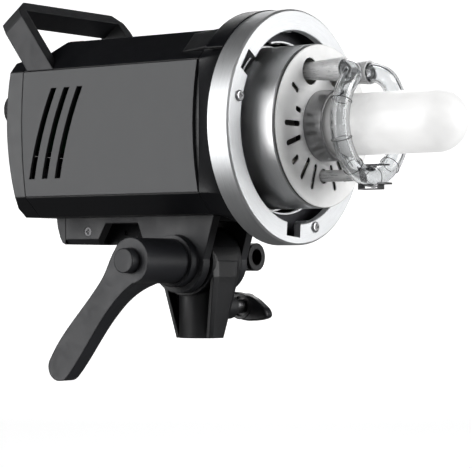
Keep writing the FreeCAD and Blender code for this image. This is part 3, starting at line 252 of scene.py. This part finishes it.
def frosted_lamp(name):
    """Etched bulb, lit from inside: grey at the neck, bright from the middle on."""
    n = Nodes(name)
    x, _, _ = n.split()
    etch = n.noise(5200.0, 2.0, 0.6)
    cloud = n.noise(90.0, 4.0, 0.6)
    glow = n.ramp(x, 0.04, 0.68, 0.092, 0.122)
    glow = n.math("MULTIPLY", glow, n.ramp(cloud, 0.94, 1.04))
    tone = n.mix(n.ramp(x, 0.0, 1.0, 0.090, 0.130), (0.20, 0.20, 0.203), (0.34, 0.34, 0.34))
    tone = n.mix(n.ramp(cloud, 0.0, 0.25), tone, (0.45, 0.45, 0.45))
    gloss = n.ramp(etch, 0.30, 0.46)
    normal = n.bump(etch, 0.25, 0.00003)
    shader = n.shader(Base_Color=tone, Roughness=gloss, Normal=normal, IOR=1.46,
                      Emission_Color=(1.0, 0.998, 0.992), Emission_Strength=glow)
    return n.done(shader)


def clear_glass(name):
    """Drawn quartz tube with faint draw lines, a little grey through its thickness."""
    n = Nodes(name)
    tint = (0.97, 0.98, 0.985)
    lines = n.noise(420.0, 3.0, 0.6, distortion=0.4)
    tone = n.mix(n.ramp(lines, 0.0, 1.0), shade(tint, 0.97), tint)
    gloss = n.ramp(lines, 0.02, 0.07)
    normal = n.bump(lines, 0.12, 0.00008)
    shader = n.shader(Base_Color=tone, Roughness=gloss, Normal=normal, Transmission_Weight=1.0, IOR=1.46)
    depth = n.add("ShaderNodeVolumeAbsorption")
    depth.inputs["Color"].default_value = (0.30, 0.31, 0.325, 1.0)
    depth.inputs["Density"].default_value = 120.0
    n.tree.links.new(depth.outputs["Volume"], n.out.inputs["Volume"])
    return n.done(shader)


def etched_quartz(name):
    """Frosted sleeve with streaks along it."""
    n = Nodes(name)
    x, y, z = n.split()
    stretched = n.join(n.math("MULTIPLY", x, 0.12), y, z)
    streaks = n.noise(900.0, 4.0, 0.65, stretched)
    tone = n.mix(n.ramp(streaks, 0.0, 1.0), (0.70, 0.705, 0.71), (0.84, 0.84, 0.84))
    gloss = n.ramp(streaks, 0.22, 0.42)
    normal = n.bump(streaks, 0.15, 0.00005)
    shader = n.shader(Base_Color=tone, Roughness=gloss, Normal=normal, Transmission_Weight=0.2, IOR=1.46)
    return n.done(shader)


def circuit_board(name):
    """Green laminate with a faint pattern of tracks under the mask."""
    n = Nodes(name)
    cells = n.add("ShaderNodeTexVoronoi", distance="MANHATTAN")
    n.feed(cells.inputs["Vector"], n.coords)
    cells.inputs["Scale"].default_value = 260.0
    weave = n.noise(2400.0, 2.0, 0.5)
    tracks = n.ramp(cells.outputs["Distance"], 0.0, 1.0, 0.2, 0.5)
    tone = n.mix(tracks, (0.02, 0.16, 0.06), (0.01, 0.07, 0.03))
    normal = n.bump(weave, 0.3, 0.00004, n.edge(0.0003))
    return n.done(n.shader(Base_Color=tone, Roughness=n.ramp(weave, 0.28, 0.42), Normal=normal))


def red_plastic(name):
    """Deep red infrared window, glossy and a little see-through."""
    n = Nodes(name)
    cloud = n.noise(140.0, 3.0, 0.6)
    fine = n.noise(2600.0, 2.0, 0.5)
    tone = n.mix(n.ramp(cloud, 0.0, 1.0), (0.10, 0.003, 0.006), (0.22, 0.008, 0.012))
    normal = n.bump(fine, 0.15, 0.00003, n.edge(0.0005))
    shader = n.shader(Base_Color=tone, Roughness=n.ramp(cloud, 0.10, 0.2), Normal=normal, Coat_Weight=0.5,
                      Transmission_Weight=0.15)
    return n.done(shader)


def display_face(name, low, high):
    """Dark display: unlit segments of three digits under a tinted window."""
    n = Nodes(name)
    _, y, z = n.split()
    u = n.ramp(y, 0.0, 1.0, low[1], high[1])
    v = n.ramp(z, 0.0, 1.0, low[2], high[2])
    column = n.math("FRACT", n.math("MULTIPLY", u, 3.0))
    inside = n.math("MULTIPLY", n.math("GREATER_THAN", column, 0.22), n.math("LESS_THAN", column, 0.78))
    bars = None
    for level in (0.24, 0.5, 0.76):
        near = n.math("LESS_THAN", n.math("ABSOLUTE", n.math("SUBTRACT", v, level)), 0.035)
        bars = near if bars is None else n.math("MAXIMUM", bars, near)
    for level in (0.24, 0.76):
        edge_near = n.math("LESS_THAN", n.math("ABSOLUTE", n.math("SUBTRACT", column, level)), 0.05)
        tall = n.math("LESS_THAN", n.math("ABSOLUTE", n.math("SUBTRACT", v, 0.5)), 0.29)
        bars = n.math("MAXIMUM", bars, n.math("MULTIPLY", edge_near, tall))
    segments = n.math("MULTIPLY", bars, inside)
    haze = n.noise(300.0, 3.0, 0.6)
    tone = n.mix(segments, (0.012, 0.014, 0.018), (0.055, 0.060, 0.068))
    normal = n.bump(haze, 0.05, 0.00003, n.edge(0.0004))
    return n.done(n.shader(Base_Color=tone, Roughness=n.ramp(haze, 0.06, 0.16), Normal=normal))


BLACK = (0.0038, 0.0041, 0.0054)
GREY = (0.0545, 0.0560, 0.0590)
HANDLE_SIDE = (0.0210, 0.0215, 0.0245)

MATERIALS = {
    "shell": plastic("shell_black", BLACK, rough=0.42, grain=2400.0, edge=0.0012),
    "rear": plastic("rear_black", BLACK, rough=0.42, grain=2400.0, edge=0.0012,
                    second=(GREY, GREY_LOW_Z, GREY_HIGH_Z)),
    "panel": plastic("panel_grey", GREY, rough=0.46, grain=2600.0, depth=0.00008, spread=0.015, edge=0.0004,
                     patchy=0.012),
    "handle": plastic("handle_black", (0.0060, 0.0063, 0.0076), rough=0.48, grain=2400.0, edge=0.0010,
                      second=(HANDLE_SIDE, 0.12, 0.20)),
    "trim": plastic("trim_black", (0.010, 0.010, 0.012), rough=0.45, edge=0.0005),
    "cap": plastic("cap_grey", (0.0150, 0.0155, 0.0180), rough=0.5, edge=0.0006),
    "cast": cast_paint("cast_black", (0.0048, 0.0050, 0.0062), edge=0.0010),
    "foot": cast_paint("foot_grey", (0.0120, 0.0125, 0.0150), rough=0.5, edge=0.0008),
    "lever": plastic("lever_grey", (0.0160, 0.0165, 0.0195), rough=0.46, grain=2200.0, edge=0.0010),
    "knob": plastic("knob_black", (0.010, 0.010, 0.012), rough=0.36, grain=1800.0, edge=0.0008),
    "rubber": plastic("rubber_black", (0.022, 0.022, 0.023), rough=0.7, grain=1500.0, edge=0.0004,
                      specular=0.3),
    "button": plastic("button_grey", (0.17, 0.17, 0.175), rough=0.5, edge=0.0004),
    "steel": metal("steel", (0.56, 0.56, 0.57), rough=0.28),
    "dark_steel": metal("dark_steel", (0.07, 0.07, 0.072), rough=0.38),
    "brass": metal("brass", (0.78, 0.56, 0.24), rough=0.3),
    "ring": turned_metal("ring_aluminium", (0.66, 0.67, 0.68), rough=0.52, grain=6500.0, strength=0.2),
    "drum": turned_metal("drum_aluminium", (0.94, 0.945, 0.95), rough=0.44, grain=3800.0, strength=0.05,
                         stain=0.05),
    # the plate's dark slots are painted shade
    "plate": painted("plate_white", (0.92, 0.92, 0.915), rough=0.42, shade_x=SLOT_SHADE_X),
    # the backing's light front edge is a painted highlight
    "backing": metal("backing_steel", (0.05, 0.05, 0.055), rough=0.35, highlight_x=BACKING_HIGHLIGHT_X),
    "collar": turned_metal("collar_grey", (0.34, 0.34, 0.345), rough=0.32, grain=4200.0, strength=0.15),
    "lamp": frosted_lamp("lamp_frosted"),
    "quartz": clear_glass("quartz_clear"),
    "sleeve": etched_quartz("quartz_etched"),
    "ceramic": painted("ceramic_white", (0.80, 0.77, 0.70), rough=0.55, grain=1800.0, depth=0.00006),
    "board": circuit_board("board_green"),
    "red": red_plastic("window_red"),
    "wrap": plastic("capacitor_wrap", (0.010, 0.014, 0.030), rough=0.3, coat=0.2),
    "display": display_face("display_face", *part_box("display_window")),
}

BY_NODE = {
    "stand_bracket": "cast", "pivot_bush": "brass", "friction_washers": "dark_steel",
    "clamp_pad": "brass", "stand_knob": "knob", "stand_knob_stud": "steel",
    "clamp_lever": "lever", "clamp_bolt": "steel", "lever_button": "cap", "lever_spring": "steel",
    "foot_frame": "foot", "foot_end_cap": "foot", "foot_screws": "dark_steel", "clamp_nut": "steel",
    "umbrella_tube": "cast", "umbrella_lock_pad": "brass", "umbrella_lock_screw": "knob",
    "body_shell": "shell", "side_panel_left": "panel", "side_panel_right": "panel",
    "front_cover": "shell", "rear_cover": "rear", "case_screws": "dark_steel",
    "sensor_window": "red", "handle": "handle", "bayonet_ring": "ring", "ring_screws": "steel",
    "bayonet_plate": "backing", "release_slider": "trim", "lock_pin": "steel", "lock_spring": "steel",
    "lamp_drum": "drum", "face_plate": "plate", "lamp_collar": "collar", "lampholder": "ceramic",
    "lamp_base": "brass", "lamp_glass": "lamp", "flash_tube_glass": "quartz",
    "flash_tube_legs": "sleeve", "flash_tube_electrodes": "steel", "trigger_wire": "dark_steel",
    "tube_sockets": "ceramic", "flash_capacitors": "wrap", "power_board": "board",
    "control_board": "board", "fan_frame": "trim", "fan_rotor": "trim", "control_panel": "trim",
    "display_window": "display", "dial": "rubber", "button_model": "button", "button_buzz": "button",
    "button_slave": "button", "button_test": "button", "power_rocker": "trim",
    "mains_inlet": "trim", "fuse_holder": "trim", "fuse_cap": "trim", "fuse": "quartz",
    "sync_jack": "steel",
}

for node, key in BY_NODE.items():
    for material_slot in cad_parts[node].material_slots:
        material_slot.link = "OBJECT"
        material_slot.material = MATERIALS[key]


# ---- floor and light --------------------------------------------------------

def studio():
    """Pale floor that sweeps up behind into a backdrop."""
    depth, rise, bend = 1.6, 1.9, 0.6
    floor_z = -0.16
    profile = [(-2.6, floor_z)]
    for step in range(13):
        angle = math.radians(90.0 * step / 12)
        profile.append((depth + bend * math.sin(angle), floor_z + bend * (1 - math.cos(angle))))
    profile.append((depth + bend, floor_z + rise))
    mesh = bpy.data.meshes.new("studio_floor")
    turn = Matrix.Rotation(math.radians(CAMERA_TURN), 3, "Z")
    vertices, faces = [], []
    for y, z in profile:
        for x in (-2.4, 2.4):
            place = turn @ Vector((x, y, 0))
            vertices.append((place.x, place.y, z))
    for row in range(len(profile) - 1):
        faces.append((2 * row, 2 * row + 1, 2 * row + 3, 2 * row + 2))
    mesh.from_pydata(vertices, [], faces)
    for polygon in mesh.polygons:
        polygon.use_smooth = True
    floor = bpy.data.objects.new("studio_floor", mesh)
    bpy.context.scene.collection.objects.link(floor)
    n = Nodes("studio_paper")
    grain = n.noise(260.0, 3.0, 0.6)
    tone = n.mix(n.ramp(grain, 0.0, 1.0), (0.93, 0.93, 0.93), (0.97, 0.97, 0.97))
    shader = n.shader(Base_Color=tone, Roughness=0.9, Emission_Color=(1.0, 1.0, 1.0), Emission_Strength=0.62)
    floor.data.materials.append(n.done(shader))
    floor.visible_diffuse = False
    floor.visible_glossy = False


studio()


def soft_light(name, direction, distance, size, power, aim=(0.0, 0.0, 0.11)):
    """Soft light: direction is azimuth from the camera's side and elevation, in degrees."""
    azimuth, elevation = (math.radians(value) for value in direction)
    base = math.radians(CAMERA_TURN - 90.0) + azimuth
    flat = math.cos(elevation)
    offset = Vector((math.cos(base) * flat, math.sin(base) * flat, math.sin(elevation))) * distance
    light = bpy.data.lights.new(name, "AREA")
    light.shape = "RECTANGLE"
    light.size, light.size_y = size
    light.energy = power
    lamp = bpy.data.objects.new(name, light)
    lamp.location = Vector(aim) + offset
    lamp.rotation_euler = (-offset).to_track_quat("-Z", "Y").to_euler()
    bpy.context.scene.collection.objects.link(lamp)


soft_light("left", (-68.0, 2.0), 2.0, (1.5, 2.2), 52.0)
soft_light("right", (74.0, 8.0), 2.0, (1.4, 1.5), 45.0)
soft_light("front", (-8.0, 24.0), 2.0, (0.7, 0.5), 4.0)
soft_light("backdrop", (180.0, 55.0), 1.3, (1.6, 0.8), 14.0, aim=(-0.9, 1.2, 0.3))


def graded_world():
    """Dim surround that darkens towards the top."""
    world = bpy.data.worlds.new("studio_world")
    bpy.context.scene.world = world
    world.use_nodes = True
    tree = world.node_tree
    background = tree.nodes["Background"]
    direction = tree.nodes.new("ShaderNodeTexCoord")
    parts = tree.nodes.new("ShaderNodeSeparateXYZ")
    tree.links.new(direction.outputs["Generated"], parts.inputs[0])
    bands = tree.nodes.new("ShaderNodeValToRGB")
    tree.links.new(parts.outputs["Z"], bands.inputs["Fac"])
    low, high = bands.color_ramp.elements
    low.position = 0.0
    low.color = (0.12, 0.12, 0.12, 1.0)
    high.position = 0.55
    high.color = (0.012, 0.012, 0.013, 1.0)
    tree.links.new(bands.outputs["Color"], background.inputs["Color"])
    background.inputs["Strength"].default_value = 1.0


graded_world()
bpy.context.scene.view_settings.view_transform = "Standard"
